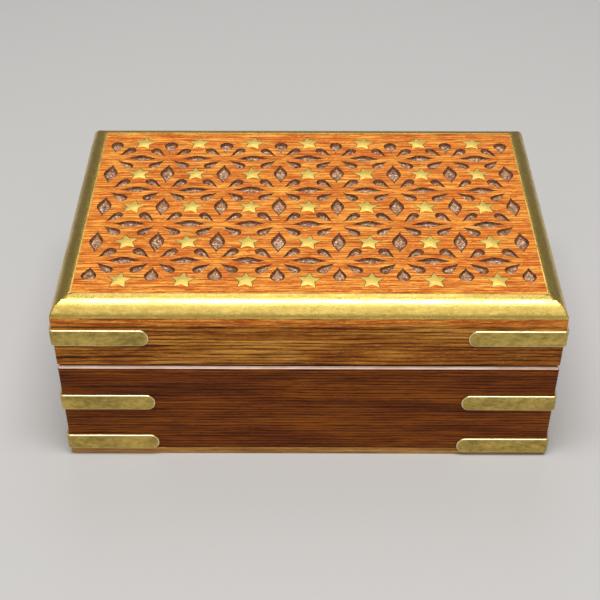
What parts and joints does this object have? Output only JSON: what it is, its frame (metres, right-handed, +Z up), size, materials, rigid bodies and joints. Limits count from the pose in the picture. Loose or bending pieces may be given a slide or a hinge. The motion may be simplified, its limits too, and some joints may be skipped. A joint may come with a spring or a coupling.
{
  "type": "inlaid wooden box",
  "caption": "Low hinged hardwood box, its lid carved with a blind lattice and set with brass stars, with brass edge trim, brass corner straps and a velvet lining.",
  "frame": {"origin": "centre of the resting face, under the middle of the box", "axes": "+X to the right along the width, +Y to the back where the hinges are, +Z up"},
  "size_m": [0.2052, 0.1352, 0.0828],
  "materials": {
    "base_sheesham": "planed and waxed dark sheesham",
    "lid_sheesham": "planed and waxed golden sheesham",
    "carved_top": "sanded, waxed and carved orange-brown sheesham",
    "bottom_board": "sawn and sanded pale board",
    "trim_brass": "bent brass sheet, rubbed bright",
    "strap_brass": "brass strip, filed and lightly tarnished",
    "strap_pin_brass": "brass pins filed nearly flush",
    "star_brass": "brass stars filed nearly flush",
    "hinge_brass": "pressed brass",
    "iron_brad": "dull iron",
    "velvet": "short pile over card"
  },
  "bodies": {
    "base": {"base_bottom": "bottom_board", "base_front": "base_sheesham", "base_back": "base_sheesham", "base_left": "base_sheesham", "base_right": "base_sheesham", "floor_pad": "velvet", "lining_front": "velvet", "lining_back": "velvet", "lining_left": "velvet", "lining_right": "velvet", "low_strap_front_left": "strap_brass", "low_strap_front_right": "strap_brass", "low_strap_back_left": "strap_brass", "low_strap_back_right": "strap_brass", "high_strap_front_left": "strap_brass", "high_strap_front_right": "strap_brass", "high_strap_back_left": "strap_brass", "high_strap_back_right": "strap_brass", "base_strap_pins": "strap_pin_brass", "bottom_brads": "iron_brad", "left_hinge_base_leaf": "hinge_brass", "left_hinge_pin": "hinge_brass", "right_hinge_base_leaf": "hinge_brass", "right_hinge_pin": "hinge_brass", "base_hinge_screws": "hinge_brass"},
    "lid": {"lid_panel": "carved_top", "lid_front": "lid_sheesham", "lid_back": "lid_sheesham", "lid_left": "lid_sheesham", "lid_right": "lid_sheesham", "lid_stars": "star_brass", "trim_front": "trim_brass", "trim_back": "trim_brass", "trim_left": "trim_brass", "trim_right": "trim_brass", "lid_strap_front_left": "strap_brass", "lid_strap_front_right": "strap_brass", "lid_strap_back_left": "strap_brass", "lid_strap_back_right": "strap_brass", "lid_strap_pins": "strap_pin_brass", "lid_brads": "iron_brad", "lid_pad": "velvet", "left_hinge_lid_leaf": "hinge_brass", "right_hinge_lid_leaf": "hinge_brass", "lid_hinge_screws": "hinge_brass"}
  },
  "joints": [
    {"name": "lid_hinge", "type": "hinge", "parent": "base", "child": "lid", "pos_m": [0, 0.0655, 0.0508], "axis": [-1, 0, 0], "range_deg": [0, 105]}
  ]
}
